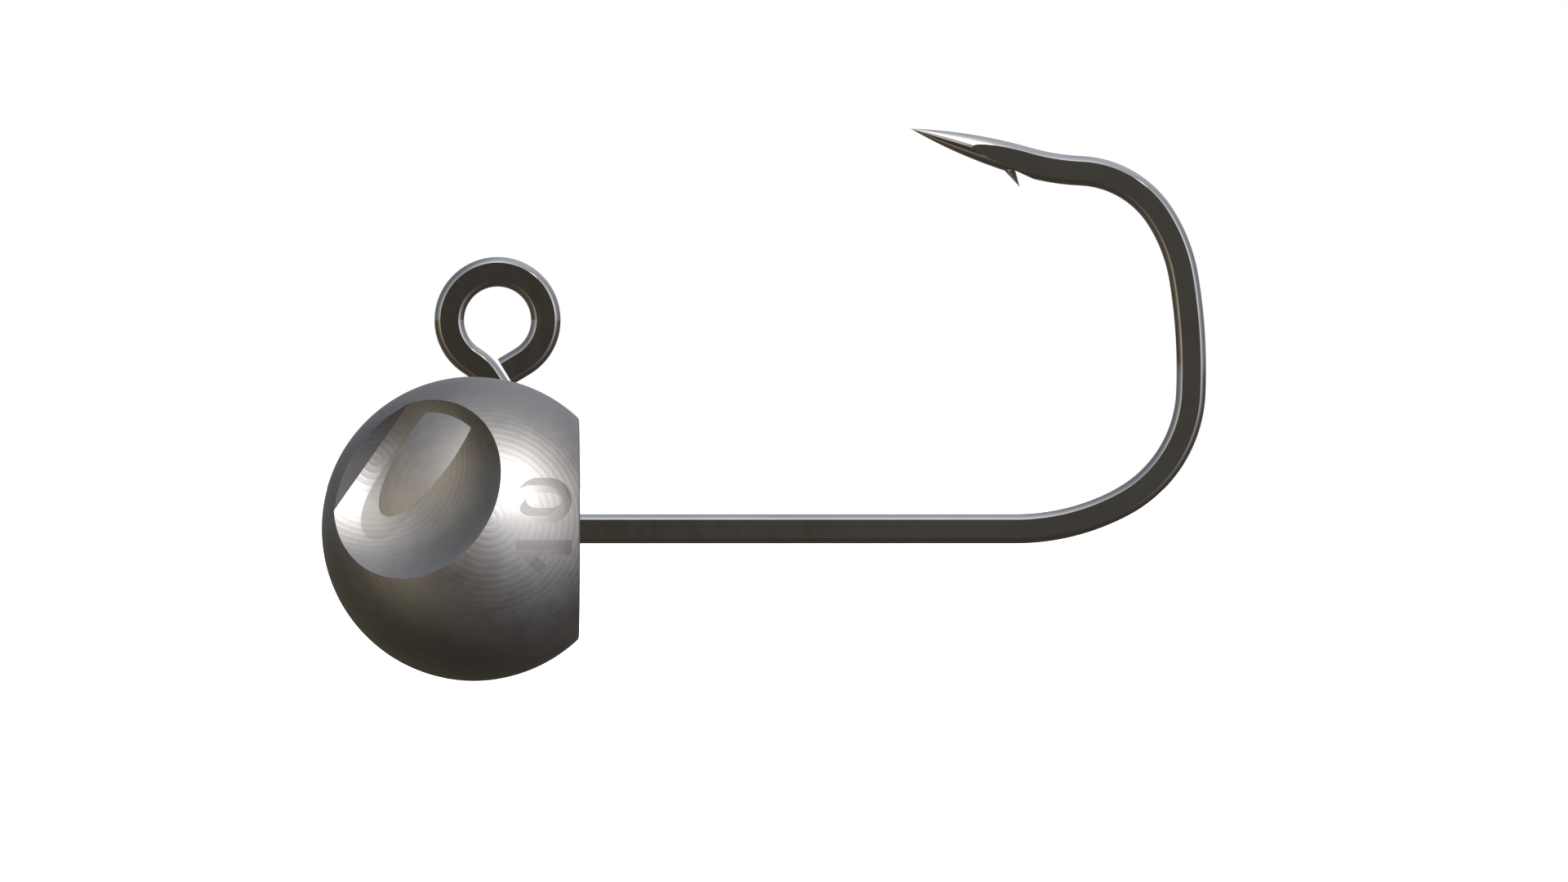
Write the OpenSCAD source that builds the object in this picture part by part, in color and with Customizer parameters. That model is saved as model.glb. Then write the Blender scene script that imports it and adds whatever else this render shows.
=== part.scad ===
// Ball jig head: a lead ball cast round the leg of a forged single hook.
// +X runs along the shank towards the bend, +Y along the bore of the line eye
// and +Z from the shank up to the line eye and the point.
// The origin is the centre of the line eye. All sizes are in millimetres.

/* [Head] */
// Diameter of the cast ball
ball_d = 5.5; // [4:0.1:7]
// Distance of the flat back behind the ball's centre
back_offset = 1.9; // [1.5:0.05:2.1]
// Distance of the eye's centre behind the ball's centre
eye_behind = 0.43; // [0.3:0.01:0.6]
// Clearance between the cast metal and the wire it is cast round
cast_gap = 0.004; // [0.003:0.001:0.01]

/* [Side hollows] */
// Radius of the hollow in each side of the ball
hollow_r = 2.34; // [1.9:0.01:2.6]
// Distance of the hollow's centre from the middle plane
hollow_out = 3.05; // [2.9:0.01:3.5]
// Distance of the hollow's centre from the ball's centre, towards the nose
hollow_forward = 2.19; // [1.9:0.01:2.4]
// Rise of the line from the ball's centre to the hollow
hollow_rise = 35; // [20:1:50]
// Distance from the ball's centre to the crease where the sloped shoulder starts
crease_at = 2.26; // [2.2:0.01:2.5]
// Slope of the shoulder between the crease and the nose
shoulder_slope = 45; // [30:1:55]

/* [Raised leaf in the hollow] */
// Length of the leaf
leaf_l = 2.95; // [2.2:0.05:3.3]
// Width of the leaf
leaf_w = 0.9; // [0.6:0.05:1.1]
// Drop of the leaf's face below the ball's own surface
leaf_drop = 0.47; // [0.35:0.01:0.6]
// Distance of the leaf's centre from the ball's centre, towards the nose
leaf_forward = 1.49; // [1.3:0.01:1.6]
// Distance of the leaf's centre above the line to the hollow
leaf_up = 0.74; // [0.4:0.01:0.9]

/* [Wire] */
// Diameter of the hook's wire before it is forged flat
wire_d = 0.535; // [0.45:0.005:0.64]
// Thickness of the wire across its two forged flats
wire_t = 0.42; // [0.34:0.01:0.5]

/* [Line eye] */
// Bore of the line eye
eye_bore = 1.226; // [1:0.002:1.5]
// Depth of the plain land that the forming pin leaves in the bore
eye_land = 0.008; // [0.006:0.001:0.02]
// Height of the eye's centre above the shank's axis
eye_rise = 3.77; // [3.6:0.01:4.6]
// Straight length of the eye's free end
tail_l = 0.36; // [0.3:0.01:0.4]

/* [Shank and bend] */
// Distance along the shank's axis from the eye's centre to the start of the bend
shank_reach = 9.36; // [7.8:0.01:11.3]
// Radius of the long heel of the bend
heel_r = 4.1; // [3.4:0.05:5]
// Radius of the bow behind the heel
bow_r = 2.35; // [1.95:0.05:2.85]
// Radius of the nearly straight back
back_r = 10; // [8:0.5:12]
// Radius of the shoulder above the back
upper_r = 2.95; // [2.45:0.05:3.55]
// Radius of the tight crown
crown_r = 1.8; // [1.5:0.05:2.2]
// Radius of the reverse curve below the point
dip_r = 4.2; // [3.5:0.1:5.1]

/* [Point and barb] */
// Length of the ground point
point_l = 2.19; // [1.8:0.01:2.65]
// Height of the barb's tip above the wire's surface
barb_h = 0.2; // [0.15:0.01:0.26]
// Width of the barb at its root
barb_w = 0.3; // [0.2:0.01:0.35]
// Depth of the cut behind the barb
notch_depth = 0.066; // [0.05:0.002:0.08]
// Slope of the cut, from its deepest part back up to the wire's surface
notch_slope = 9; // [7:0.5:12]

/* [Hidden] */
$fn = 96;

// Neighbouring lengths of the wire lap by lap, and every second one is slimmer by
// step all round, so that they always run into each other and fuse.
lap = 0.01;
step = 0.001;

// The eye and the neck below it
eye_r = (eye_bore + wire_d) / 2 - eye_land;
tail_heading = 31;
neck_r = 0.94;
neck_heading = -56.3;
neck_l = 0.36;
leg_r = 0.9;

// The wire from the eye's free end to the point. Each row is [length, 0] for a
// straight length and [radius, turn] for a bend, where a turn towards +Z is positive.
eye_turn = 297;
before_leg = [
    [tail_l, 0],
    [eye_r, eye_turn],
    [neck_r, neck_heading - (tail_heading + eye_turn - 360)],
    [neck_l, 0],
    [leg_r, -90 - neck_heading]
];

// Where a straight length or bend that starts at the origin, heading along +X, ends
function gone(s) = s[1] == 0 ? [s[0], 0] :
    [s[0] * sin(abs(s[1])), sign(s[1]) * s[0] * (1 - cos(s[1]))];
function turned(v, a) = [v[0] * cos(a) - v[1] * sin(a), v[0] * sin(a) + v[1] * cos(a)];
// Heading at the start of row i, and the place where row i starts
function heading(p, i) = i == 0 ? tail_heading : heading(p, i - 1) + p[i - 1][1];
function place(p, i) = i == 0 ? tail_end :
    place(p, i - 1) + turned(gone(p[i - 1]), heading(p, i - 1));

// The free end, set so that the ring of the eye is centred on the origin
tail_end = turned([-tail_l, -eye_r], tail_heading);
leg_top = place(before_leg, 5);
wire = concat(before_leg, [
    [leg_top[1] + eye_rise - leg_r, 0],
    [leg_r, 90],
    [shank_reach - leg_top[0] - leg_r, 0],
    [heel_r, 28],
    [bow_r, 59.5],
    [back_r, 12],
    [upper_r, 23],
    [crown_r, 55],
    [dip_r, -13.5],
    [point_l, 0]
]);
last = len(wire) - 1;
point_heading = heading(wire, last);
point_start = place(wire, last);

ball_at = [-eye_behind, 0, -eye_rise];

// Forged section of the wire: a round rod with two flats
module section(grow) {
    intersection() {
        circle(d = wire_d + 2 * grow);
        square([wire_d + 1, wire_t + 2 * grow], center = true);
    }
}

// One straight length along +X, run on by more at both ends
module straight(l, grow, more) {
    translate([-more, 0, 0]) rotate([90, 0, 90])
        linear_extrude(l + 2 * more) rotate(90) section(grow);
}

// One bend that starts along +X and turns towards +Z, run on by more at both ends
module bend(r, turn, grow, more) {
    run_on = more / r * 180 / PI;
    translate([0, 0, r]) rotate([90, 0, 0]) rotate([0, 0, -90 - run_on])
        rotate_extrude(angle = turn + 2 * run_on) translate([r, 0]) section(grow);
}

// The wire's rows from first to end, each in its place, larger all round by grow
module lengths(first, end, grow = 0) {
    for (i = [first : end]) {
        slim = i % 2;
        fit = grow - slim * step;
        more = slim * lap + (grow > 0 ? lap / 2 : 0);
        at = place(wire, i);
        translate([at[0], 0, at[1]]) rotate([0, -heading(wire, i), 0])
            if (wire[i][1] == 0) straight(wire[i][0], fit, more);
            else if (wire[i][1] > 0) bend(wire[i][0], wire[i][1], fit, more);
            else mirror([0, 0, 1]) bend(wire[i][0], -wire[i][1], fit, more);
    }
}

// Frame of the point: origin where the ground point starts, +X towards the tip
module at_point() {
    translate([point_start[0], 0, point_start[1]]) rotate([0, -point_heading, 0])
        children();
}

// Ogive that the point is ground to, with its base at the origin and its tip on +X.
// Its side is a slow curve that leaves the wire without a break, cut in bands.
bands = 14;
function ogive_r(x) =
    let (r = wire_d / 2, sweep_r = (r * r + point_l * point_l) / (2 * r))
    max(0, sqrt(sweep_r * sweep_r - x * x) - sweep_r + r);
module ogive() {
    rotate([0, 90, 0]) rotate_extrude() polygon(concat(
        [[0, 0]],
        [for (i = [0 : bands - 1]) [ogive_r(i * point_l / bands), i * point_l / bands]],
        [[0, point_l]]
    ));
}

// The last straight length, ground to a sharp point
module ground_point() {
    at_point() intersection() {
        ogive();
        translate([-1, -wire_t / 2, -wire_d]) cube([point_l + 2, wire_t, 2 * wire_d]);
    }
}

// Places along the point's frame of the barb's front root, back root and tip
barb_front = 0.152 * point_l;
barb_back = 0.076 * point_l;
barb_tip = 0;

// Barb raised from the inner side of the wire: a swept-back tooth that narrows to
// its tip, made where its side profile meets its front profile
module barb() {
    r = wire_d / 2;
    at_point() intersection() {
        translate([0, barb_w, 0]) rotate([90, 0, 0]) linear_extrude(2 * barb_w)
            polygon([
                [barb_front + 0.05, r * 0.5],
                [barb_front, r - 0.002],
                [barb_tip, r + barb_h],
                [barb_back, r - notch_depth],
                [barb_back + 0.02, r * 0.5]
            ]);
        rotate([90, 0, 90]) linear_extrude(2 * point_l, center = true)
            polygon([
                [-barb_w / 2, 0],
                [barb_w / 2, 0],
                [barb_w / 2, r - notch_depth],
                [0.015, r + barb_h],
                [-0.015, r + barb_h],
                [-barb_w / 2, r - notch_depth]
            ]);
    }
}

// Cut that the barb is raised from: deepest under the barb, sloping up behind it
module barb_notch() {
    r = wire_d / 2;
    foot = barb_back + 0.01;
    reach = foot + 2 * wire_d;
    at_point() translate([0, wire_d, 0]) rotate([90, 0, 0]) linear_extrude(2 * wire_d)
        polygon([
            [foot, r - notch_depth],
            [foot, r + wire_d],
            [foot - reach, r + wire_d],
            [foot - reach, r - notch_depth + reach * tan(notch_slope)]
        ]);
}

// The hook: one wire from the eye's free end to the point
module hook() {
    color([0.22, 0.21, 0.2]) difference() {
        union() {
            difference() {
                union() {
                    lengths(0, last - 1);
                    ground_point();
                }
                barb_notch();
            }
            barb();
        }
        // Plain land in the eye
        rotate([90, 0, 0]) cylinder(d = eye_bore, h = wire_t + 2, center = true);
    }
}

// Frame of the side hollow: origin at the ball's centre, +X towards the nose end of
// the hollow, +Y across the ball and +Z along the hollow's upper edge
module along_hollow() {
    translate(ball_at) rotate([0, hollow_rise, 0]) mirror([1, 0, 0]) children();
}

// Body that hollows one side: ball-shaped up to the crease, conical beyond it
module hollow_cutter() {
    crease = crease_at - hollow_forward;
    run = hollow_r / tan(shoulder_slope);
    translate([hollow_forward, -hollow_out, 0]) rotate([0, 90, 0]) rotate_extrude()
        intersection() {
            circle(r = hollow_r);
            polygon([
                [0, -hollow_r - 1],
                [hollow_r + 1, -hollow_r - 1],
                [hollow_r + 1, crease],
                [hollow_r, crease],
                [0, crease + run]
            ]);
        }
}

// Leaf left standing in the hollow, its face parallel to the ball's surface
module leaf() {
    intersection() {
        translate([leaf_forward, -ball_d / 2, leaf_up]) rotate([-90, 0, 0])
            scale([leaf_w, leaf_l, 1]) cylinder(d = 1, h = ball_d / 2);
        translate([0, leaf_drop, 0]) sphere(d = ball_d);
    }
}

// The cast head: a ball with a flat back, a hollow in each side and the wire's way
module head() {
    color([0.42, 0.42, 0.43]) difference() {
        // Turned so that the ball's seam runs down one side, clear of the wire
        translate(ball_at) rotate([0, 0, 90]) sphere(d = ball_d);
        translate(ball_at + [back_offset, -ball_d, -ball_d]) cube(2 * ball_d);
        for (side = [0, 1]) mirror([0, side, 0]) along_hollow() difference() {
            hollow_cutter();
            leaf();
        }
        lengths(0, 7, cast_gap);
    }
}

head();
hook();
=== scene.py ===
# %% [markdown]
# # A ball jig head, cast round a forged hook
#
# The real thing is two pieces. A length of wire is forged flat on both sides,
# bent into a line eye, a leg, a shank and a bend, and ground to a barbed point.
# Then a ball of lead alloy is cast round the leg. The ball has a flat back for
# the soft bait, a hollow in each side with a raised leaf in it, and a number
# sunk beside the near hollow.
#
# This script models both pieces again, finer than the solid model that it starts
# from, and gives them their finish. Everything is worked out in millimetres and
# brought to metres at the end of each piece, because the small tools of mesh
# modelling, such as merging and bevelling, behave best near one unit in size.

import math

import bmesh
import bpy
from mathutils import Matrix, Vector


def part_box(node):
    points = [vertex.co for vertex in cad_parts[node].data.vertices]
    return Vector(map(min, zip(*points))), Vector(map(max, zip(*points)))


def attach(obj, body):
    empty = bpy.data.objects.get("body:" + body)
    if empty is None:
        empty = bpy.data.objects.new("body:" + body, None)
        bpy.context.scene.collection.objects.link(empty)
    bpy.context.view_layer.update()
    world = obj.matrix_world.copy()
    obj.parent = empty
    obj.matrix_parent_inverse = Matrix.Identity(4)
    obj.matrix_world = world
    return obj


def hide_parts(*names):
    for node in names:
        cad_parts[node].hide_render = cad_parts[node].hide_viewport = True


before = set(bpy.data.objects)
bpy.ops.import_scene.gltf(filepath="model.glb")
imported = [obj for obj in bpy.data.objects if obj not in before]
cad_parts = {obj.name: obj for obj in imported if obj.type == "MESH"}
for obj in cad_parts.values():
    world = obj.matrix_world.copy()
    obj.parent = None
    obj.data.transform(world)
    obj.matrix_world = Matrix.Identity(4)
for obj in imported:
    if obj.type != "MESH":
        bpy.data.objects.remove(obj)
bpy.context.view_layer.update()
MM = 0.001

# %% [markdown]
# ## Sizes
#
# The solid model fixes the overall sizes, so the place of the ball, its flat back and
# the thickness of the flats are read from its boxes; the ball's radius is given. The
# rest are the bending sizes of the wire, which no box can tell: they are a bender's
# list of straight lengths and radii, in the order in which the wire is formed.

# %% Sizes read from the solid model
head_low, head_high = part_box("head")
hook_low, hook_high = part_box("hook")
BALL_R = 2.75
BALL_AT = Vector((head_low.x / MM + BALL_R, 0, head_low.z / MM + BALL_R))
BACK_OFFSET = head_high.x / MM - BALL_AT.x
WIRE_T = (hook_high.y - hook_low.y) / MM
print(f"ball {2 * BALL_R:.3f} mm across, its flat back {BACK_OFFSET:.3f} mm behind its centre")
print(f"wire {WIRE_T:.3f} mm thick across the flats")

# %% Sizes of the wire
WIRE_D = 0.535
WIRE_R = WIRE_D / 2
TAIL_L, TAIL_HEADING = 0.36, 31
EYE_R, LEG_R = 0.8725, 0.9
SHANK_REACH, POINT_L = 9.36, 2.19
print(f"wire {WIRE_D} mm round before forging, its eye bent to {EYE_R} mm")


# %% Follow the wire through its bends
def turned(x, z, degrees):
    """The vector (x, z) of the hook's plane, turned from +X towards +Z."""
    a = math.radians(degrees)
    return Vector((x * math.cos(a) - z * math.sin(a), 0, x * math.sin(a) + z * math.cos(a)))


def gone(size, turn):
    """How far a straight length (turn 0) or a bend gets, if it sets off along +X."""
    if turn == 0:
        return size, 0
    a = math.radians(abs(turn))
    return size * math.sin(a), math.copysign(size * (1 - math.cos(a)), turn)


def walk(rows, place, heading):
    """The place and heading at the start of each row, and at the end of the last."""
    stops = [(place, heading)]
    for size, turn, _ in rows:
        place = place + turned(*gone(size, turn), heading)
        heading = heading + turn
        stops.append((place, heading))
    return stops


# Each row is (length or radius in mm, turn in degrees or 0, steps along it)
tail_end = turned(-TAIL_L, -EYE_R, TAIL_HEADING)
to_the_leg = [
    (TAIL_L, 0, 3),  # the cut end
    (EYE_R, 297, 66),  # the line eye
    (0.94, -24.3, 6),  # its neck
    (0.36, 0, 3),
    (LEG_R, -33.7, 9),
]
leg_top = walk(to_the_leg, tail_end, TAIL_HEADING)[-1][0]
bends = to_the_leg + [
    (leg_top.z - BALL_AT.z - LEG_R, 0, 12),  # the leg
    (LEG_R, 90, 22),
    (SHANK_REACH - leg_top.x - LEG_R, 0, 48),  # the shank
    (4.1, 28, 16),  # the heel
    (2.35, 59.5, 24),  # the bow
    (10, 12, 12),  # the back
    (2.95, 23, 12),
    (1.8, 55, 18),  # the crown
    (4.2, -13.5, 14),  # the dip before the point
]
stops = walk(bends, tail_end, TAIL_HEADING)
POINT_AT, POINT_HEADING = stops[-1]
wire_length = sum(size * math.radians(abs(turn)) if turn else size for size, turn, _ in bends)
print(f"wire {wire_length + POINT_L:.1f} mm long; the point starts at {tuple(POINT_AT)}")

# %% [markdown]
# ## The section of the wire
#
# The wire was round and has been forged flat on two sides, so its section is a
# circle between two flats, which meet it in crisp corners. Towards the tip the
# ground point gets thinner, and the same rule gives its section: the flats get
# narrower until the point is fully round.
#
# One outline function serves for the whole hook. It is asked for the half
# section at any radius, and lays the same number of points each time, so that
# each ring of the swept wire joins the next one point to point.

# %% Outline of the section
FLAT_POINTS, ROUND_POINTS = 4, 11


def quarter_section(radius):
    """Points (up, across) of a quarter of the section, from the flat's middle to the top."""
    half = min(WIRE_T / 2, radius)
    corner = math.sqrt(radius ** 2 - half ** 2)
    flat = [(corner * i / FLAT_POINTS, half) for i in range(FLAT_POINTS)]
    top = math.asin(half / radius)
    angles = [top * (1 - i / ROUND_POINTS) for i in range(ROUND_POINTS)]
    return flat + [(radius * math.cos(a), radius * math.sin(a)) for a in angles]


def section(radius):
    """The whole section as points (up, across), all the way round."""
    quarter = quarter_section(radius)
    top = (radius, 0)
    half = quarter + [top] + [(up, -across) for up, across in reversed(quarter[1:])]
    return half + [(-up, -across) for up, across in half]


def lay_ring(verts, place, heading, radius):
    """Lays a ring of the sweep on the section of that radius, square to the heading."""
    for v, (up, across) in zip(verts, section(radius)):
        v.co = place + turned(0, up, heading) + Vector((0, across, 0))


RING = len(section(WIRE_R))
print(f"{RING} points round the wire")

# %% [markdown]
# ## Sweeping the wire
#
# A hook could be made as a curve with a bevel profile, but then its bends would
# be whatever the curve's handles give. Here each straight length is an extrusion
# and each bend is a spin about its own centre, just as a bending machine forms
# it, so every radius is exact and each length leaves the last one without a kink.

# %% Helpers for the sweep
MERGE = 1e-5


def ordered(geom, place, heading):
    """The ring's vertices in the order of the section's points."""
    verts = [g for g in geom if isinstance(g, bmesh.types.BMVert)]
    targets = [place + turned(0, up, heading) + Vector((0, across, 0))
               for up, across in section(WIRE_R)]
    return [min(verts, key=lambda v: (v.co - t).length) for t in targets]


def edges_of(ring):
    """The edges that join a ring's own vertices."""
    members = set(ring)
    return list({e for v in ring for e in v.link_edges if e.other_vert(v) in members})


def step_on(bm, ring, move):
    """Extrudes the ring by one step and returns the new one, in the same order."""
    made = bmesh.ops.extrude_edge_only(bm, edges=edges_of(ring))["geom"]
    new = {v for v in made if isinstance(v, bmesh.types.BMVert)}
    pairs = {}
    for v in new:
        old = [e.other_vert(v) for e in v.link_edges if e.other_vert(v) not in new]
        pairs[old[0]] = v
    bmesh.ops.translate(bm, verts=list(new), vec=move)
    return [pairs[v] for v in ring]


# %% Sweep the wire from the cut end of the eye to the start of the point
wire = bmesh.new()
ring = bmesh.ops.create_circle(wire, cap_ends=False, radius=WIRE_R, segments=RING)["verts"]
lay_ring(ring, tail_end, TAIL_HEADING, WIRE_R)
bmesh.ops.contextual_create(wire, geom=list(wire.edges))

for (size, turn, steps), (place, heading) in zip(bends, stops):
    if turn == 0:
        for _ in range(steps):
            ring = step_on(wire, ring, turned(size / steps, 0, heading))
        continue
    side = math.copysign(1, turn)
    centre = place + turned(0, side * size, heading)
    made = bmesh.ops.spin(wire, geom=ring + edges_of(ring), cent=centre, axis=(0, -side, 0),
                          angle=math.radians(abs(turn)), steps=steps,
                          use_merge=False, use_duplicate=False)
    end, end_heading = place + turned(*gone(size, turn), heading), heading + turn
    ring = ordered(made["geom_last"], end, end_heading)
print(f"swept {len(wire.faces)} faces; now at {tuple(round(x, 3) for x in ring[0].co)}")

# %% [markdown]
# ## Grinding the point
#
# The point is an ogive: its side is one slow curve that leaves the wire without
# a break and ends in the tip. Each ring of it is the section at the ogive's
# radius there, so the flats run out in a tongue by themselves. Rings are closer
# together where the tongue ends and at the tip, where the form changes fastest.

# %% Ground point
BARB_H, BARB_W = 0.2, 0.3
BARB_FRONT, BARB_BACK = 0.152 * POINT_L, 0.076 * POINT_L
NOTCH_DEPTH, NOTCH_SLOPE = 0.066, 9
NOTCH_FOOT = BARB_BACK + 0.01
OGIVE_R = (WIRE_R ** 2 + POINT_L ** 2) / WIRE_D
TIP_R = 0.006
RING_GAP = 0.05


def ogive_radius(x):
    """Radius of the ogive at x mm from where it starts."""
    return max(math.sqrt(OGIVE_R ** 2 - x * x) - OGIVE_R + WIRE_R, TIP_R)


# Where the rings lie, in mm from the start of the point
point_rings = [0.06, 0.12, NOTCH_FOOT] + [NOTCH_FOOT + RING_GAP * i for i in range(1, 36)]
tongue_end = math.sqrt(OGIVE_R ** 2 - (WIRE_T / 2 + OGIVE_R - WIRE_R) ** 2)
point_rings += [tongue_end + d for d in (-0.03, -0.015, -0.005, 0.001)]
point_rings += [POINT_L - d for d in (0.16, 0.12, 0.09, 0.06, 0.04, 0.025, 0.012)]
point_rings = sorted(x for x in set(point_rings) if x < POINT_L)
reached = 0
for x in point_rings:
    ring = step_on(wire, ring, turned(x - reached, 0, POINT_HEADING))
    lay_ring(ring, POINT_AT + turned(x, 0, POINT_HEADING), POINT_HEADING, ogive_radius(x))
    reached = x
bmesh.ops.pointmerge(wire, verts=ring, merge_co=POINT_AT + turned(POINT_L, 0, POINT_HEADING))
bmesh.ops.remove_doubles(wire, verts=list(wire.verts), dist=MERGE)
print(f"{len(point_rings)} rings on the point; the wire has {len(wire.faces)} faces")

# %% [markdown]
# ## The barb
#
# A barb is raised from the wire by a chisel: a cut slopes down under it, and the
# metal is pushed up into a tooth that leans away from the tip. The slope is a
# plane, so a bisection makes it with clean edges, and the open end of the cut is
# closed by one face for the slope and one for the small wall under the barb.
# The tooth is a prism of five corners, narrowed towards its tip, and a union
# makes it one body with the wire.

# %% Helpers for the point's own frame
def on_point(x, z, y=0):
    """The place x mm towards the tip, z mm towards the inner side, from the point's start."""
    return POINT_AT + turned(x, z, POINT_HEADING) + Vector((0, y, 0))


def from_point(place):
    """The same the other way round: x and z of a place, in the point's own frame."""
    local = turned(place.x - POINT_AT.x, place.z - POINT_AT.z, -POINT_HEADING)
    return local.x, local.z


# %% Cut the notch under the barb
NOTCH_REACH = 0.7
SLACK = 1e-4
behind = []
for f in wire.faces:
    corners = [from_point(v.co) for v in f.verts]
    if all(-NOTCH_REACH < x < NOTCH_FOOT + SLACK and 0 < z < WIRE_D for x, z in corners):
        behind.append(f)
cut_geom = list({g for f in behind for g in (f, *f.edges, *f.verts)})
slope = math.radians(NOTCH_SLOPE)
notch_at = on_point(NOTCH_FOOT, WIRE_R - NOTCH_DEPTH)
notch_normal = turned(math.sin(slope), math.cos(slope), POINT_HEADING)
bmesh.ops.bisect_plane(wire, geom=cut_geom, plane_co=notch_at, plane_no=notch_normal, dist=1e-6)
chips = []
for f in wire.faces:
    middle = f.calc_center_median()
    x, z = from_point(middle)
    above = (middle - notch_at).dot(notch_normal) > 1e-6
    if above and -NOTCH_REACH < x < NOTCH_FOOT and 0 < z < WIRE_D:
        chips.append(f)
bmesh.ops.delete(wire, geom=chips, context="FACES")
rim = [e for e in wire.edges if e.is_boundary]
lid = bmesh.ops.holes_fill(wire, edges=rim, sides=0)["faces"][0]
feet = sorted(lid.verts, key=lambda v: (v.co.xz - notch_at.xz).length)
bmesh.ops.connect_verts(wire, verts=feet[:2])
print(f"cut away {len(chips)} faces and closed a rim of {len(rim)} edges")

# %% A mesh object, and one cut or joined by another
def new_object(name, bm):
    """A mesh object made from a bmesh, which it uses up."""
    bmesh.ops.recalc_face_normals(bm, faces=list(bm.faces))
    mesh = bpy.data.meshes.new(name)
    bm.to_mesh(mesh)
    bm.free()
    made = bpy.data.objects.new(name, mesh)
    bpy.context.scene.collection.objects.link(made)
    return made


def applied(body):
    """Makes the body's modifiers real and removes them."""
    bpy.context.view_layer.update()
    depsgraph = bpy.context.evaluated_depsgraph_get()
    old, body.data = body.data, bpy.data.meshes.new_from_object(body.evaluated_get(depsgraph))
    body.modifiers.clear()
    bpy.data.meshes.remove(old)
    return body


def combine(body, operation, tool):
    """Cuts the body by the tool (DIFFERENCE), or joins or crosses them, and drops the tool."""
    boolean = body.modifiers.new(operation.lower(), "BOOLEAN")
    boolean.operation = operation
    boolean.solver = "EXACT"
    boolean.object = tool
    applied(body)
    bpy.data.objects.remove(tool)
    return body


# %% Raise the barb
BARB_TIP_W, BARB_EDGE = 0.03, 0.008
ROOT_AT = WIRE_R / 2


def barb_half_width(z):
    """The barb narrows evenly from its root to its tip."""
    share = (z - (WIRE_R - NOTCH_DEPTH)) / (BARB_H + NOTCH_DEPTH)
    return BARB_W / 2 + min(max(share, 0), 1) * (BARB_TIP_W / 2 - BARB_W / 2)


barb = bmesh.new()
profile = [(BARB_FRONT + 0.05, ROOT_AT), (BARB_FRONT, WIRE_R - 0.002), (0, WIRE_R + BARB_H),
           (BARB_BACK, WIRE_R - NOTCH_DEPTH), (BARB_BACK + 0.02, ROOT_AT)]
near = [barb.verts.new(on_point(x, z, -barb_half_width(z))) for x, z in profile]
far = bmesh.ops.extrude_face_region(barb, geom=[barb.faces.new(near)])["geom"]
for v in far:
    if isinstance(v, bmesh.types.BMVert):
        v.co.y = -v.co.y
bmesh.ops.recalc_face_normals(barb, faces=list(barb.faces))
bmesh.ops.bevel(barb, geom=list(barb.edges), offset=BARB_EDGE, offset_type="OFFSET", segments=2,
                profile=0.5, affect="EDGES", material=-1, clamp_overlap=True)
hook = combine(new_object("forged_hook", wire), "UNION", new_object("barb", barb))
print(f"hook: {len(hook.data.polygons)} faces")

# %% [markdown]
# ## The ball
#
# The mould for the head is turned and then sunk with a ball cutter, so the head
# is made the same way here: the ball and its flat back are one outline spun
# about the shank's axis, which also gives the back a clean round rim to bevel.
# A sphere cut by a plane would do for the shape, but its faces would meet the
# rim at all angles, and the bevel would tear there.

# %% Helpers for turned bodies
ROUND_STEPS, OUTLINE_STEPS = 224, 144


def lathe(outline, steps):
    """Spins an open outline of (along, out) points about +X and closes it at the axis."""
    bm = bmesh.new()
    verts = [bm.verts.new((along, 0, out)) for along, out in outline]
    edges = [bm.edges.new(pair) for pair in zip(verts, verts[1:])]
    bmesh.ops.spin(bm, geom=verts + edges, cent=(0, 0, 0), axis=(1, 0, 0),
                   angle=math.tau, steps=steps, use_merge=True)
    bmesh.ops.remove_doubles(bm, verts=list(bm.verts), dist=MERGE)
    bmesh.ops.recalc_face_normals(bm, faces=list(bm.faces))
    return bm


def arc(radius, start, end, steps):
    """Points (along, out) of an arc about the origin, between two angles from +X."""
    angles = [math.radians(start + (end - start) * i / steps) for i in range(steps + 1)]
    return [(radius * math.cos(a), radius * math.sin(a)) for a in angles]


def whole_ball(radius):
    """A closed ball about the origin."""
    return lathe(arc(radius, 180, 0, OUTLINE_STEPS), ROUND_STEPS)


# %% Spin the ball with its flat back
RIM_BEVEL = 0.03
rim_angle = math.degrees(math.acos(BACK_OFFSET / BALL_R))
rim_r = BALL_R * math.sin(math.radians(rim_angle))
flat_back = [(BACK_OFFSET, rim_r * share) for share in (0.96, 0.8, 0.5, 0.2, 0)]
ball = lathe(arc(BALL_R, 180, rim_angle, 110) + flat_back, ROUND_STEPS)
on_back = {v for v in ball.verts if abs(v.co.x - BACK_OFFSET) < SLACK}
on_rim = {v for v in on_back if v.co.yz.length > rim_r - SLACK}
rim = [e for e in ball.edges if on_rim.issuperset(e.verts)]
bmesh.ops.bevel(ball, geom=rim, offset=RIM_BEVEL, offset_type="OFFSET", segments=3,
                profile=0.5, affect="EDGES", material=-1, clamp_overlap=True)
bmesh.ops.translate(ball, verts=list(ball.verts), vec=BALL_AT)
head = new_object("cast_head", ball)
print(f"ball: {len(head.data.polygons)} faces, bevelled rim of {len(rim)} edges")

# %% [markdown]
# ## The hollows and their leaves
#
# Each side of the ball has a hollow: the inside of a slightly smaller ball, with
# a sloped shoulder at the nose end. Both follow from one outline spun about the
# hollow's own axis, which rises towards the nose. A leaf stands in the hollow. It
# is a long oval whose face runs parallel to the ball's surface, so it is a slice
# of an oval column, cut off by the same ball moved inwards.

# %% Sink the hollows and leave the leaves standing
HOLLOW_R, HOLLOW_OUT, HOLLOW_FORWARD, HOLLOW_RISE = 2.34, 3.05, 2.19, 35
CREASE_AT, SHOULDER_SLOPE, SHOULDER_STEPS = 2.26, 45, 24
LEAF_L, LEAF_W, LEAF_DROP, LEAF_FORWARD, LEAF_UP = 2.95, 0.9, 0.47, 1.49, 0.74

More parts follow.
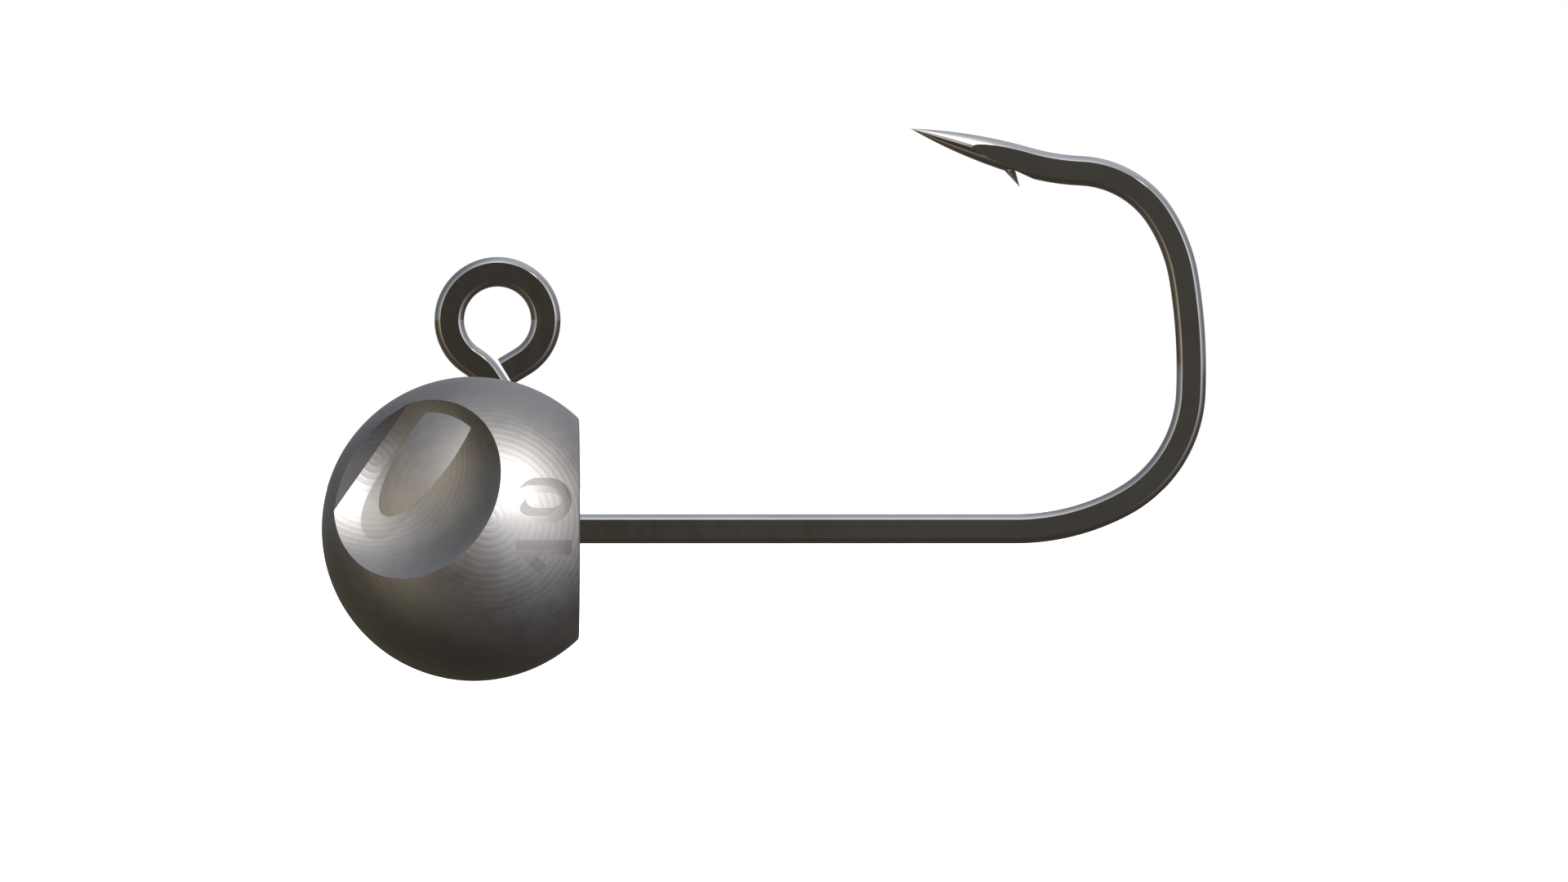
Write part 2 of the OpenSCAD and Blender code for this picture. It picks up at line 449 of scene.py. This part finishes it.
# Turns the hollow's own frame, +X towards the nose and +Z along its upper edge, into place
along_hollow = (Matrix.Translation(BALL_AT) @ Matrix.Rotation(math.radians(HOLLOW_RISE), 4, "Y")
                @ Matrix.Diagonal((-1, 1, 1, 1)))
crease = CREASE_AT - HOLLOW_FORWARD
crease_angle = math.degrees(math.acos(crease / HOLLOW_R))
shoulder_run = HOLLOW_R / math.tan(math.radians(SHOULDER_SLOPE))


def hollow_tool(side):
    """The body that hollows one side of the ball; side is -1 at the near side."""
    shares = [i / SHOULDER_STEPS for i in range(1, SHOULDER_STEPS + 1)]
    shoulder = [(crease + shoulder_run * share, HOLLOW_R * (1 - share)) for share in shares]
    bm = lathe(arc(HOLLOW_R, 180, crease_angle, 72) + shoulder, 180)
    bmesh.ops.translate(bm, verts=list(bm.verts), vec=(HOLLOW_FORWARD, side * HOLLOW_OUT, 0))
    bmesh.ops.transform(bm, matrix=along_hollow, verts=list(bm.verts))
    return new_object("hollow_tool", bm)


def leaf(side):
    """The leaf of one side, as deep as the middle of the ball."""
    column = bmesh.new()
    bmesh.ops.create_cone(column, cap_ends=True, segments=128, radius1=0.5, radius2=0.5,
                          depth=BALL_R * 2)
    bmesh.ops.rotate(column, verts=list(column.verts), cent=(0, 0, 0),
                     matrix=Matrix.Rotation(math.pi / 2, 3, "X"))
    bmesh.ops.scale(column, verts=list(column.verts), vec=(LEAF_W, 0.5, LEAF_L))
    bmesh.ops.translate(column, verts=list(column.verts),
                        vec=(LEAF_FORWARD, side * BALL_R / 2, LEAF_UP))
    face = whole_ball(BALL_R)
    bmesh.ops.translate(face, verts=list(face.verts), vec=(0, -side * LEAF_DROP, 0))
    for bm in (column, face):
        bmesh.ops.transform(bm, matrix=along_hollow, verts=list(bm.verts))
    return combine(new_object("leaf", column), "INTERSECT", new_object("leaf_face", face))


for side in (-1, 1):
    combine(head, "DIFFERENCE", hollow_tool(side))
    combine(head, "UNION", leaf(side))
print(f"head with its hollows: {len(head.data.polygons)} faces")

# %% [markdown]
# ## The size number
#
# Such heads carry a plain number, cut into the mould and so sunk in the lead. It
# stands here for the size of the hook, and reads upwards beside the hollow. Each
# numeral is a column of even stroke across the ball: the one is a bar with a
# short flag, the nought an oval with a smaller oval left standing in it. A ball
# of smaller radius cuts each column off below, so the floor follows the surface.

# %% Sizes and columns of the number
NUMBER_DEPTH, STROKE = 0.25, 0.27
NUMBER_FOOT, NUMBER_TOP = 1.74, 0.74
ONE_AT, NOUGHT_AT = -0.33, 0.52
FLAG_BELOW, FLAG_ASIDE, FLAG_L, FLAG_W, FLAG_TURN = 0.27, 0.19, 0.58, 0.2, 45
NOUGHT_W, NOUGHT_END, NOUGHT_SQUARE, INNER_SQUARE = 0.812, 0.18, 0.1, 0.12


def finished_column(bm, x, z):
    """Stands a unit-deep shape across the ball's near side, at x, z from its centre."""
    bmesh.ops.translate(bm, verts=list(bm.verts), vec=BALL_AT + Vector((x, -BALL_R, z)))
    return new_object("column", bm)


def oval_column(x, z, half_x, half_z, square):
    """A column with an oval section; square moves its halves apart, for straighter sides."""
    bm = bmesh.new()
    bmesh.ops.create_cone(bm, cap_ends=True, segments=72, radius1=1, radius2=1, depth=2)
    bmesh.ops.rotate(bm, verts=list(bm.verts), cent=(0, 0, 0),
                     matrix=Matrix.Rotation(math.pi / 2, 3, "X"))
    bmesh.ops.scale(bm, verts=list(bm.verts), vec=(half_x - square, 1, half_z))
    for v in bm.verts:
        if abs(v.co.x) > 1e-6:
            v.co.x += math.copysign(square, v.co.x)
    return finished_column(bm, x, z)


def bar_column(x, z, half_x, half_z, turn=0):
    """A column with a section of four straight sides, turned by so many degrees."""
    bm = bmesh.new()
    bmesh.ops.create_cube(bm, size=2)
    bmesh.ops.scale(bm, verts=list(bm.verts), vec=(half_x, 1, half_z))
    bmesh.ops.rotate(bm, verts=list(bm.verts), cent=(0, 0, 0),
                     matrix=Matrix.Rotation(math.radians(turn), 3, "Y"))
    return finished_column(bm, x, z)


# %% Sink the size number into the near side
middle = (NUMBER_FOOT + NUMBER_TOP) / 2
half_height = (NUMBER_FOOT - NUMBER_TOP) / 2
flag = bar_column(NUMBER_TOP + FLAG_BELOW, ONE_AT - FLAG_ASIDE, FLAG_L / 2, FLAG_W / 2, FLAG_TURN)
one = combine(bar_column(middle, ONE_AT, half_height, STROKE / 2), "UNION", flag)
inner = oval_column(middle, NOUGHT_AT, half_height - NOUGHT_END, NOUGHT_W / 2 - STROKE,
                    INNER_SQUARE)
nought = combine(oval_column(middle, NOUGHT_AT, half_height, NOUGHT_W / 2, NOUGHT_SQUARE),
                 "DIFFERENCE", inner)
for numeral in (one, nought):
    core = whole_ball(BALL_R - NUMBER_DEPTH)
    bmesh.ops.translate(core, verts=list(core.verts), vec=BALL_AT)
    combine(numeral, "DIFFERENCE", new_object("core", core))
    combine(head, "DIFFERENCE", numeral)
print(f"head with its number: {len(head.data.polygons)} faces")

# %% [markdown]
# ## Smooth faces and crisp edges
#
# Both pieces are now cut and joined bodies, so their faces are of very different
# sizes along the cuts. Smooth shading alone would smear the light across those
# edges. Edges sharper than 30 degrees are marked sharp, and a weighted-normal
# modifier lets the large faces lead, so curved faces stay clean up to each edge.
# Near the tip the flats of the wire run out in an angle of only a few degrees, so
# their edges are marked by another rule: one face is flat and its neighbour isn't.

# %% Mark the edges of the flats
SHARP_FROM = 30
SQUARE_ON = 0.99999


def mark_flats(mesh):
    """Marks the edges where a flat of the wire ends, however slight the angle there."""
    flat = {f.index for f in mesh.polygons if abs(f.normal.y) > SQUARE_ON}
    sides = {}
    for f in mesh.polygons:
        for key in f.edge_keys:
            sides.setdefault(key, set()).add(f.index in flat)
    sharp = mesh.attributes.get("sharp_edge")
    sharp = sharp or mesh.attributes.new("sharp_edge", "BOOLEAN", "EDGE")
    for e in mesh.edges:
        if len(sides[e.key]) == 2:
            sharp.data[e.index].value = True


# %% Finish the meshes and put them in place
def finish_mesh(piece, node):
    """Cleans a piece, brings it to metres, and lets it stand for its solid node."""
    bm = bmesh.new()
    bm.from_mesh(piece.data)
    bmesh.ops.remove_doubles(bm, verts=list(bm.verts), dist=2 * MERGE)
    bmesh.ops.dissolve_degenerate(bm, edges=list(bm.edges), dist=2 * MERGE)
    bmesh.ops.triangulate(bm, faces=[f for f in bm.faces if len(f.verts) > 4])
    bmesh.ops.recalc_face_normals(bm, faces=list(bm.faces))
    open_edges = sum(not e.is_manifold for e in bm.edges)
    bmesh.ops.scale(bm, verts=list(bm.verts), vec=(MM, MM, MM))
    bm.to_mesh(piece.data)
    bm.free()
    piece.data.shade_smooth()
    piece.data.set_sharp_from_angle(angle=math.radians(SHARP_FROM))
    mark_flats(piece.data)
    weighted = piece.modifiers.new("weighted_normals", "WEIGHTED_NORMAL")
    weighted.keep_sharp = True
    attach(piece, "root")
    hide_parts(node)
    print(f"{piece.name}: {len(piece.data.polygons)} faces, {open_edges} open edges")


finish_mesh(hook, "hook")
finish_mesh(head, "head")

# %% [markdown]
# ## Building a finish from nodes
#
# A finish is a small tree of nodes. Every pattern in it is laid out in object
# coordinates, which here are metres in the frame of the solid model, so a scale
# of 1000 on a noise gives patches of about 1 mm. The helpers below keep the
# trees short: each makes one node, sets its plain values and links the rest.

# %% Helpers for node trees
def node(tree, kind, links=None, **settings):
    """Adds a node; settings are its properties, links its sockets, set or linked by name."""
    made = tree.nodes.new(kind)
    for name, value in settings.items():
        setattr(made, name, value)
    for socket, value in (links or {}).items():
        if isinstance(value, bpy.types.NodeSocket):
            tree.links.new(value, made.inputs[socket])
        else:
            made.inputs[socket].default_value = value
    return made


def math_node(tree, operation, *values):
    """The result of one step of arithmetic on numbers or sockets."""
    return node(tree, "ShaderNodeMath", dict(enumerate(values)), operation=operation).outputs[0]


def vector_node(tree, operation, *values):
    """The result of one step of arithmetic on vectors: a vector, or a number if it gives one."""
    made = node(tree, "ShaderNodeVectorMath", dict(enumerate(values)), operation=operation)
    gives_number = operation in {"DOT_PRODUCT", "LENGTH", "DISTANCE"}
    return made.outputs["Value" if gives_number else "Vector"]


def spread(tree, value, low, high, to_low=0.0, to_high=1.0, smooth=False):
    """Brings a value from one range to another and holds it there."""
    return node(tree, "ShaderNodeMapRange",
                {"Value": value, "From Min": low, "From Max": high,
                 "To Min": to_low, "To Max": to_high},
                interpolation_type="SMOOTHSTEP" if smooth else "LINEAR").outputs["Result"]


def blend_colors(tree, share, first, second):
    """The first colour where share is 0, the second where it is 1."""
    made = node(tree, "ShaderNodeMix", {"Factor": share}, data_type="RGBA")
    for socket, color in ((made.inputs[6], first), (made.inputs[7], second)):
        if isinstance(color, bpy.types.NodeSocket):
            tree.links.new(color, socket)
        else:
            socket.default_value = (*color, 1)
    return made.outputs[2]


# %% Helpers for finishes
def new_finish(name):
    """A material with its shader, and the place on the piece as a socket."""
    finish = bpy.data.materials.new(name)
    finish.use_nodes = True
    tree = finish.node_tree
    place = node(tree, "ShaderNodeTexCoord").outputs["Object"]
    return finish, tree, tree.nodes["Principled BSDF"], place


def noise(tree, place, size_mm, detail=3.0, roughness=0.5):
    """Noise from about 0.3 to 0.7, with patches of about that size."""
    return node(tree, "ShaderNodeTexNoise",
                {"Vector": place, "Scale": 1 / (size_mm * MM), "Detail": detail,
                 "Roughness": roughness}).outputs["Fac"]


def bumped(tree, height, depth_mm, under=None):
    """A bump whose height runs from 0 to 1 over that depth, on top of another bump."""
    links = {"Height": height, "Distance": depth_mm * MM, "Strength": 1.0}
    if under is not None:
        links["Normal"] = under
    return node(tree, "ShaderNodeBump", links).outputs["Normal"]


# %% [markdown]
# ## Black nickel on the hook
#
# A finished hook is hardened, polished in a barrel and plated with black nickel,
# a thin and very glossy dark coat. What the eye sees on it is almost only its
# surroundings, so the finish is a dark mirror with little of its own: the tumbling
# leaves a faint waviness, the coat is a little browner where it is thin, and the
# edges of the flats, where every hook in the box rubs on the next, are brighter.
# The edge is found from the thickness of the wire, so no painted mask is needed.

# %% Black nickel
THICK_COAT, THIN_COAT, RUBBED_EDGE = (0.455, 0.455, 0.46), (0.42, 0.41, 0.395), (0.56, 0.56, 0.56)
WAVE_DEPTH, PIT_DEPTH = 0.0012, 0.00003


def black_nickel():
    """Glossy dark plating with a faint waviness and rubbed edges along the flats."""
    finish, tree, shader, place = new_finish("black_nickel")
    patches = spread(tree, noise(tree, place, 1.6), 0.35, 0.65)
    coat = blend_colors(tree, patches, THICK_COAT, THIN_COAT)
    across = node(tree, "ShaderNodeSeparateXYZ", {"Vector": place}).outputs["Y"]
    depth = math_node(tree, "SUBTRACT", WIRE_T / 2 * MM, math_node(tree, "ABSOLUTE", across))
    near_edge = spread(tree, depth, 0.02 * MM, 0.001 * MM, smooth=True)
    off_flat = spread(tree, depth, 0.0002 * MM, 0.0006 * MM)
    worn = spread(tree, noise(tree, place, 0.35), 0.45, 0.6)
    rubbed = math_node(tree, "MULTIPLY", math_node(tree, "MULTIPLY", near_edge, off_flat), worn)
    color = blend_colors(tree, math_node(tree, "MULTIPLY", rubbed, 0.5), coat, RUBBED_EDGE)
    tree.links.new(color, shader.inputs["Base Color"])
    haze = spread(tree, noise(tree, place, 0.5, 5.0), 0.35, 0.7, 0.02, 0.045)
    tree.links.new(haze, shader.inputs["Roughness"])
    shader.inputs["Metallic"].default_value = 1.0
    wavy = bumped(tree, noise(tree, place, 0.45, 1.0), WAVE_DEPTH)
    pits = bumped(tree, noise(tree, place, 0.03, 2.0), PIT_DEPTH, wavy)
    tree.links.new(pits, shader.inputs["Normal"])
    return finish


hook.data.materials.clear()
hook.data.materials.append(black_nickel())
print("hook finish:", hook.data.materials[0].name)

# %% [markdown]
# ## Cast lead on the ball
#
# The ball is left as it comes from the mould. Lead dulls within days to a dark
# grey skin, which scatters light softly but still shades like a metal. Three
# things show on it at arm's length: the fine scallops that the ball-turning tool
# left in the mould, a mottled skin where the metal chilled first, and the line
# where the two halves of the mould meet, in the plane of the wire. The scallops
# are rings about the tool's axis, a few degrees apart. Their height is a row of
# small arches, u(1 - u) over each ring, which gives the sharp cusps between the
# cuts that a wave lacks. Ball, hollow and leaf were cut in three settings, so
# each has rings of its own. Both sides are alike, so the place is mirrored first.

# %% Helpers for the scallops
def scallops(tree, place, centre, axis, step_degrees):
    """Arches from 0 to 1 in rings about an axis through the centre, a few degrees apart."""
    out = vector_node(tree, "SUBTRACT", place, tuple(centre * MM))
    off = vector_node(tree, "LENGTH", vector_node(tree, "CROSS_PRODUCT", out, tuple(axis)))
    along = vector_node(tree, "DOT_PRODUCT", out, tuple(axis))
    angle = math_node(tree, "ARCTAN2", off, along)
    u = math_node(tree, "FRACT", math_node(tree, "DIVIDE", angle, math.radians(step_degrees)))
    return math_node(tree, "MULTIPLY", math_node(tree, "MULTIPLY", u, 4.0),
                     math_node(tree, "SUBTRACT", 1.0, u))


def within(tree, place, centre, radius, play):
    """1 where the place is less than the play off a ball of that radius, else 0."""
    far = vector_node(tree, "DISTANCE", place, tuple(centre * MM))
    off = math_node(tree, "ABSOLUTE", math_node(tree, "SUBTRACT", far, radius * MM))
    return math_node(tree, "LESS_THAN", off, play * MM)


# %% Cast lead
LIGHT_SKIN, DARK_SKIN, SEAM_METAL = (0.232, 0.229, 0.225), (0.208, 0.205, 0.202), (0.3, 0.297, 0.29)
SCALLOP_DEPTH, GRAIN_DEPTH, SEAM_DEPTH = 0.0013, 0.0004, 0.006
BALL_TOOL_AXIS = Vector((0.09, -0.99, 0.07)).normalized()
LEAF_TOOL_AXIS = Vector((-0.21, -0.94, 0.27)).normalized()
HOLLOW_TOOL_AXIS = Vector((0.0, 1.0, 0.0))
SURFACE_PLAY = 0.02


def cast_lead():
    """Dull grey cast metal with tool scallops, mottling and a parting line."""
    finish, tree, shader, place = new_finish("cast_lead")
    mottling = spread(tree, noise(tree, place, 0.9, 6.0, 0.6), 0.35, 0.65)
    skin = blend_colors(tree, mottling, LIGHT_SKIN, DARK_SKIN)
    parts = node(tree, "ShaderNodeSeparateXYZ", {"Vector": place})
    off_seam = math_node(tree, "ABSOLUTE", parts.outputs["Y"])
    seam = spread(tree, off_seam, 0.035 * MM, 0.01 * MM, smooth=True)
    color = blend_colors(tree, math_node(tree, "MULTIPLY", seam, 0.5), skin, SEAM_METAL)
    tree.links.new(color, shader.inputs["Base Color"])
    dullness = spread(tree, noise(tree, place, 0.25, 5.0), 0.3, 0.7, 0.42, 0.49)
    tree.links.new(dullness, shader.inputs["Roughness"])
    shader.inputs["Metallic"].default_value = 1.0

    near = node(tree, "ShaderNodeCombineXYZ",
                {"X": parts.outputs["X"], "Y": math_node(tree, "MULTIPLY", off_seam, -1.0),
                 "Z": parts.outputs["Z"]}).outputs["Vector"]
    hollow_at = along_hollow @ Vector((HOLLOW_FORWARD, -HOLLOW_OUT, 0))
    leaf_ball = BALL_AT + Vector((0, LEAF_DROP, 0))
    on_ball = within(tree, near, BALL_AT, BALL_R, SURFACE_PLAY)
    on_leaf = within(tree, near, leaf_ball, BALL_R, SURFACE_PLAY)
    ball_cuts = scallops(tree, near, BALL_AT, BALL_TOOL_AXIS, 2.8)
    leaf_cuts = scallops(tree, near, leaf_ball, LEAF_TOOL_AXIS, 4.0)
    hollow_cuts = scallops(tree, near, hollow_at, HOLLOW_TOOL_AXIS, 3.0)
    cuts = node(tree, "ShaderNodeMix", {0: on_leaf, 2: hollow_cuts, 3: leaf_cuts}).outputs[0]
    cuts = node(tree, "ShaderNodeMix", {0: on_ball, 2: cuts, 3: ball_cuts}).outputs[0]
    grain = bumped(tree, noise(tree, place, 0.03, 3.0), GRAIN_DEPTH)
    turned_skin = bumped(tree, cuts, SCALLOP_DEPTH, grain)
    ridge = bumped(tree, seam, SEAM_DEPTH, turned_skin)
    tree.links.new(ridge, shader.inputs["Normal"])
    return finish


head.data.materials.clear()
head.data.materials.append(cast_lead())
print("head finish:", head.data.materials[0].name)

# %% [markdown]
# ## The light table
#
# Small tackle is shown on a light table: a floor that is lit from below, so that
# hardly a shadow is left. The floor here is a plain sheet under the ball, with a
# little light of its own. It is kept out of reflections, and it lets light from
# below through, so that the undersides see the dark room and not the sheet.

# %% Floor
FLOOR_GLOW, FLOOR_REACH = 0.85, 2


def pale_sheet():
    """A plain pale finish that gives off light of its own."""
    finish, tree, shader, _ = new_finish("pale_sheet")
    shader.inputs["Base Color"].default_value = (0.8, 0.8, 0.8, 1)
    shader.inputs["Roughness"].default_value = 0.9
    shader.inputs["Emission Color"].default_value = (1, 1, 1, 1)
    shader.inputs["Emission Strength"].default_value = FLOOR_GLOW
    return finish


sheet = bmesh.new()
bmesh.ops.create_grid(sheet, x_segments=1, y_segments=1, size=FLOOR_REACH)
bmesh.ops.translate(sheet, verts=list(sheet.verts), vec=(0, 0, head_low.z))
floor = new_object("floor", sheet)
floor.data.materials.append(pale_sheet())
floor.visible_glossy = False
floor.visible_diffuse = False
floor.visible_shadow = False
print("floor at", round(head_low.z / MM, 3), "mm")

# %% [markdown]
# ## The studio
#
# A polished hook shows the whole room, so the room matters as much as the lamps.
# Above the horizon it is a cool grey tent, below it a warm dark floor, and the
# flats of the wire, which face the camera squarely, see a dark card around the
# lens. The lower half of the round point looks further down and to the left, at
# the dark stand that holds the card. Each further lamp is a round glow on the
# tent. A glow is strongest in its own direction d, and fades as exp(k (d.r - 1))
# in any other direction r, which is cheap in nodes and has no edge. The camera
# itself sees plain white.
#
# Both pieces are kept out of reflections. At this size each would show the other
# as a bright or dark blot, where the real room's light, coming from all sides of
# a big diffuse tent, washes it out. Light from the room is not aimed at either:
# each ray finds it by its own reflection, which keeps the dark flats free of grain.

# %% Directions in the room
def direction(azimuth, elevation):
    """The unit vector at that azimuth, from the camera towards +X, and elevation."""
    a, e = math.radians(azimuth), math.radians(elevation)
    return Vector((math.sin(a) * math.cos(e), -math.cos(a) * math.cos(e), math.sin(e)))


# %% Glows, tent, ground and card
GLOW_SHARPNESS = 8.0
# Each glow is (azimuth, elevation, colour and strength)
glows = [
    (30, 15, (2.15, 2.16, 2.44)),
    (-60, 15, (1.16, 0.97, 0.70)),
    (60, 15, (2.06, 1.91, 1.71)),
    (0, 75, (1.12, 1.11, 1.12)),
    (-60, 45, (0.06, 0.07, 0.09)),
    (150, 45, (0.61, 0.60, 0.67)),
    (-40, -15, (1.42, 1.23, 0.85)),
    (60, -20, (0.31, 0.31, 0.42)),
    (-150, -20, (0.08, 0.07, 0.04)),
]
TENT, GROUND = (0.20, 0.225, 0.272), (0.074, 0.063, 0.053)
CARD_LEFT, CARD_RIGHT = (0.078, 0.069, 0.056), (0.107, 0.100, 0.085)
CARD_RIM, STAND_RIM, STAND_AT = (14.5, 11.5), (23.5, 20.5), (-25, -28)
print(f"{len(glows)} glows")

# %% Light the room
world = bpy.data.worlds.new("studio")
bpy.context.scene.world = world
world.use_nodes = True
room = world.node_tree
ray = node(room, "ShaderNodeTexCoord").outputs["Generated"]
sight = node(room, "ShaderNodeSeparateXYZ", {"Vector": ray})
light = blend_colors(room, spread(room, sight.outputs["Z"], -0.01, 0.01), GROUND, TENT)


def disc(place, rim):
    """1 inside a round disc about that azimuth and elevation, 0 outside its soft rim."""
    along = vector_node(room, "DOT_PRODUCT", ray, tuple(direction(*place)))
    outer, inner = (math.cos(math.radians(angle)) for angle in rim)
    return spread(room, along, outer, inner)


for azimuth, elevation, color in glows:
    along = vector_node(room, "DOT_PRODUCT", ray, tuple(direction(azimuth, elevation)))
    power = math_node(room, "MULTIPLY", math_node(room, "SUBTRACT", along, 1.0), GLOW_SHARPNESS)
    fade = math_node(room, "EXPONENT", power)
    glow = node(room, "ShaderNodeVectorMath", {"Vector": color, "Scale": fade}, operation="SCALE")
    light = vector_node(room, "ADD", light, glow.outputs["Vector"])
on_card = math_node(room, "MAXIMUM", disc((0, 0), CARD_RIM), disc(STAND_AT, STAND_RIM))
card = blend_colors(room, spread(room, sight.outputs["X"], 0.008, 0.019), CARD_LEFT, CARD_RIGHT)
light = blend_colors(room, on_card, light, card)
lit = room.nodes["Background"]
room.links.new(light, lit.inputs["Color"])
white = node(room, "ShaderNodeBackground", {"Color": (1, 1, 1, 1)})
seen = node(room, "ShaderNodeLightPath").outputs["Is Camera Ray"]
split = node(room, "ShaderNodeMixShader", {0: seen, 1: lit.outputs[0], 2: white.outputs[0]})
room.links.new(split.outputs[0], room.nodes["World Output"].inputs["Surface"])
world.cycles.sampling_method = "NONE"
hook.visible_glossy = False
head.visible_glossy = False
print("room:", len(room.nodes), "nodes")

# %% [markdown]
# ## Lamps
#
# The main lamp is a wide, low softbox above and to the right. It gives the long
# highlight on the ground point and the bright side of the ball. A small hard lamp
# beside it draws the shadow of the leaf in its hollow and of the number's edges,
# without which the sunk number would hardly be seen.

# %% Softbox and hard lamp
LAMP_AWAY = 0.4
BOX_HALF_ANGLES = 34, 24
BOX_AT, BOX_COLOR, BOX_RADIANCE = (28, 42), (1.0, 0.90, 0.75), 2.15
HARD_LAMP_AT, HARD_LAMP_SPREAD = Vector((0.41, -0.74, 0.52)), 1.5


def new_lamp(name, kind, toward, color, **settings):
    """A lamp that stands in that direction from the ball and shines back at it."""
    data = bpy.data.lights.new(name, kind)
    data.color = color
    for setting, value in settings.items():
        setattr(data, setting, value)
    lamp = bpy.data.objects.new(name, data)
    bpy.context.scene.collection.objects.link(lamp)
    lamp.location = BALL_AT * MM + toward * LAMP_AWAY
    lamp.rotation_euler = (-toward).to_track_quat("-Z", "Y").to_euler()
    lamp.visible_camera = False
    return lamp


def softbox_power(radiance, width, height):
    """Watts that give a flat lamp that radiance."""
    return radiance * math.pi * width * height


box_w, box_h = (2 * LAMP_AWAY * math.tan(math.radians(half)) for half in BOX_HALF_ANGLES)
new_lamp("softbox", "AREA", direction(*BOX_AT), BOX_COLOR, shape="RECTANGLE",
         size=box_w, size_y=box_h, energy=softbox_power(BOX_RADIANCE, box_w, box_h),
         use_shadow=False)
new_lamp("hard_lamp", "SUN", HARD_LAMP_AT.normalized(), (1.0, 1.0, 1.0),
         energy=3.0, angle=math.radians(HARD_LAMP_SPREAD))
print(f"softbox {box_w * 100:.0f} by {box_h * 100:.0f} cm")

# %% [markdown]
# ## Camera
#
# The camera looks straight at the side of the hook, from far enough away that the
# eye and the ball show no perspective.

# %% Camera
VIEW_TURN = math.radians(1.06)
VIEW_WIDTH = 28.331
CAMERA_AWAY = 500
AIM_X, AIM_Z = 5.176, -2.184
camera = bpy.data.cameras.new("camera")
camera.lens = camera.sensor_width * CAMERA_AWAY / VIEW_WIDTH
camera.clip_start, camera.clip_end = 0.05, 10
camera_object = bpy.data.objects.new("camera", camera)
bpy.context.scene.collection.objects.link(camera_object)
look = Vector((math.sin(VIEW_TURN), math.cos(VIEW_TURN), 0))
camera_object.location = (Vector((AIM_X, 0, AIM_Z)) - look * CAMERA_AWAY) * MM
camera_object.rotation_euler = look.to_track_quat("-Z", "Y").to_euler()
bpy.context.scene.camera = camera_object
bpy.context.scene.view_settings.view_transform = "Standard"
print(f"lens {camera.lens:.0f} mm")
